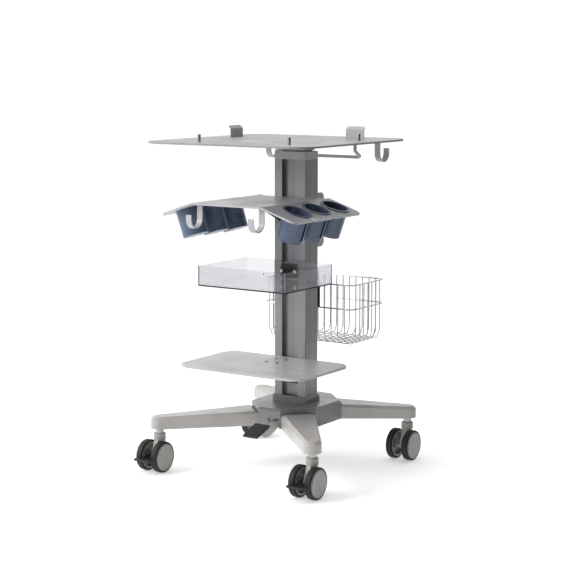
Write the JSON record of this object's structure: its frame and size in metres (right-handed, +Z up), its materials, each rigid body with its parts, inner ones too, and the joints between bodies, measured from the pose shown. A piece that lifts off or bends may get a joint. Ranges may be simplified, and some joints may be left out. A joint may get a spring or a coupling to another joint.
{
  "type": "ultrasound cart",
  "caption": "Height-adjustable ultrasound cart on a four-arm caster base, with an equipment plate, probe cup shelf, clear tray, wire basket and foot pedal.",
  "frame": {"origin": "on the floor, in the middle of the bounding box", "axes": "+Z up, -Y towards the front (pedal, tray and probe cups), +X to the cart's right"},
  "size_m": [0.667, 0.73, 1.097],
  "materials": {
    "base_paint": "satin",
    "hub_paint": "satin",
    "collar_plastic": "matte",
    "column_aluminium": "satin",
    "cap_plastic": "matte",
    "glide_plastic": "matte",
    "plate_paint": "satin",
    "bracket_paint": "satin",
    "rear_paint": "satin",
    "zinc_steel": "satin",
    "chrome_wire": "polished",
    "clear_acrylic": "polished",
    "cup_plastic": "satin",
    "pad_rubber": "matte",
    "tyre_rubber": "matte",
    "wheel_plastic": "satin",
    "lever_plastic": "satin"
  },
  "bodies": {
    "base": {"base_hub": "hub_paint", "front_left_arm": "base_paint", "front_right_arm": "base_paint", "rear_left_arm": "base_paint", "rear_right_arm": "base_paint", "caster_stems": "zinc_steel", "column_foot": "collar_plastic", "column": "column_aluminium", "column_cap": "cap_plastic", "mast_glides": "glide_plastic", "gas_spring_rod": "zinc_steel", "pedal_pin": "zinc_steel", "lower_shelf": "plate_paint", "lower_bracket": "bracket_paint", "tray": "clear_acrylic", "tray_bracket": "bracket_paint", "probe_shelf": "plate_paint", "probe_bracket": "bracket_paint", "shelf_hooks": "plate_paint", "left_probe_cups": "cup_plastic", "right_probe_cups": "cup_plastic", "rear_bracket": "rear_paint", "basket": "chrome_wire", "basket_bracket": "bracket_paint", "bracket_screws": "zinc_steel"},
    "lift": {"mast": "column_aluminium", "gas_spring_tube": "zinc_steel", "gas_spring_pin": "zinc_steel", "adapter_plate": "plate_paint", "plate_posts": "zinc_steel", "top_plate": "plate_paint", "locating_studs": "bracket_paint", "top_hooks": "plate_paint", "rear_handle": "plate_paint"},
    "left_clip_body": {"left_clip": "plate_paint"},
    "rear_clip_body": {"rear_clip": "plate_paint"},
    "pedal": {"pedal_arm": "base_paint", "pedal_pad": "pad_rubber"},
    "valve_pin": {"release_pin": "zinc_steel"},
    "front_left_swivel": {"front_left_caster_body": "wheel_plastic", "front_left_caster_axle": "zinc_steel"},
    "front_left_wheel_pair": {"front_left_wheels": "wheel_plastic", "front_left_tyres": "tyre_rubber"},
    "front_left_brake": {"front_left_brake_lever": "lever_plastic"},
    "front_right_swivel": {"front_right_caster_body": "wheel_plastic", "front_right_caster_axle": "zinc_steel"},
    "front_right_wheel_pair": {"front_right_wheels": "wheel_plastic", "front_right_tyres": "tyre_rubber"},
    "front_right_brake": {"front_right_brake_lever": "lever_plastic"},
    "rear_left_swivel": {"rear_left_caster_body": "wheel_plastic", "rear_left_caster_axle": "zinc_steel"},
    "rear_left_wheel_pair": {"rear_left_wheels": "wheel_plastic", "rear_left_tyres": "tyre_rubber"},
    "rear_right_swivel": {"rear_right_caster_body": "wheel_plastic", "rear_right_caster_axle": "zinc_steel"},
    "rear_right_wheel_pair": {"rear_right_wheels": "wheel_plastic", "rear_right_tyres": "tyre_rubber"}
  },
  "joints": [
    {"name": "lift_slide", "type": "slide", "parent": "base", "child": "lift", "axis": [0, 0, 1], "range_m": [0, 0.3]},
    {"name": "left_clip_slide", "type": "slide", "parent": "lift", "child": "left_clip_body", "axis": [0, 1, 0], "range_m": [-0.068, 0]},
    {"name": "rear_clip_slide", "type": "slide", "parent": "lift", "child": "rear_clip_body", "axis": [1, 0, 0], "range_m": [0, 0.03]},
    {"name": "pedal_hinge", "type": "hinge", "parent": "base", "child": "pedal", "pos_m": [0.018, 0.028, 0.156], "axis": [1, 0, 0], "range_deg": [0, 6], "stiffness_Nm_per_rad": 25, "springref_deg": -3.44},
    {"name": "valve_pin_slide", "type": "slide", "parent": "base", "child": "valve_pin", "axis": [0, 0, 1], "range_m": [0, 0.0075]},
    {"name": "front_left_swivel_turn", "type": "hinge", "parent": "base", "child": "front_left_swivel", "pos_m": [-0.292, -0.266, 0.11], "axis": [0, 0, 1], "continuous": true},
    {"name": "front_left_wheel_spin", "type": "hinge", "parent": "front_left_swivel", "child": "front_left_wheel_pair", "pos_m": [-0.292, -0.291, 0.05], "axis": [1, 0, 0], "continuous": true},
    {"name": "front_left_brake_tilt", "type": "hinge", "parent": "front_left_swivel", "child": "front_left_brake", "pos_m": [-0.292, -0.291, 0.05], "axis": [1, 0, 0], "range_deg": [0, 20]},
    {"name": "front_right_swivel_turn", "type": "hinge", "parent": "base", "child": "front_right_swivel", "pos_m": [0.292, -0.266, 0.11], "axis": [0, 0, 1], "continuous": true},
    {"name": "front_right_wheel_spin", "type": "hinge", "parent": "front_right_swivel", "child": "front_right_wheel_pair", "pos_m": [0.292, -0.291, 0.05], "axis": [1, 0, 0], "continuous": true},
    {"name": "front_right_brake_tilt", "type": "hinge", "parent": "front_right_swivel", "child": "front_right_brake", "pos_m": [0.292, -0.291, 0.05], "axis": [1, 0, 0], "range_deg": [0, 20]},
    {"name": "rear_left_swivel_turn", "type": "hinge", "parent": "base", "child": "rear_left_swivel", "pos_m": [-0.292, 0.316, 0.11], "axis": [0, 0, 1], "continuous": true},
    {"name": "rear_left_wheel_spin", "type": "hinge", "parent": "rear_left_swivel", "child": "rear_left_wheel_pair", "pos_m": [-0.292, 0.291, 0.05], "axis": [1, 0, 0], "continuous": true},
    {"name": "rear_right_swivel_turn", "type": "hinge", "parent": "base", "child": "rear_right_swivel", "pos_m": [0.292, 0.316, 0.11], "axis": [0, 0, 1], "continuous": true},
    {"name": "rear_right_wheel_spin", "type": "hinge", "parent": "rear_right_swivel", "child": "rear_right_wheel_pair", "pos_m": [0.292, 0.291, 0.05], "axis": [1, 0, 0], "continuous": true}
  ],
  "couplings": [
    {"joint": "valve_pin_slide", "follows": "pedal_hinge", "m_per_rad": 0.07}
  ]
}
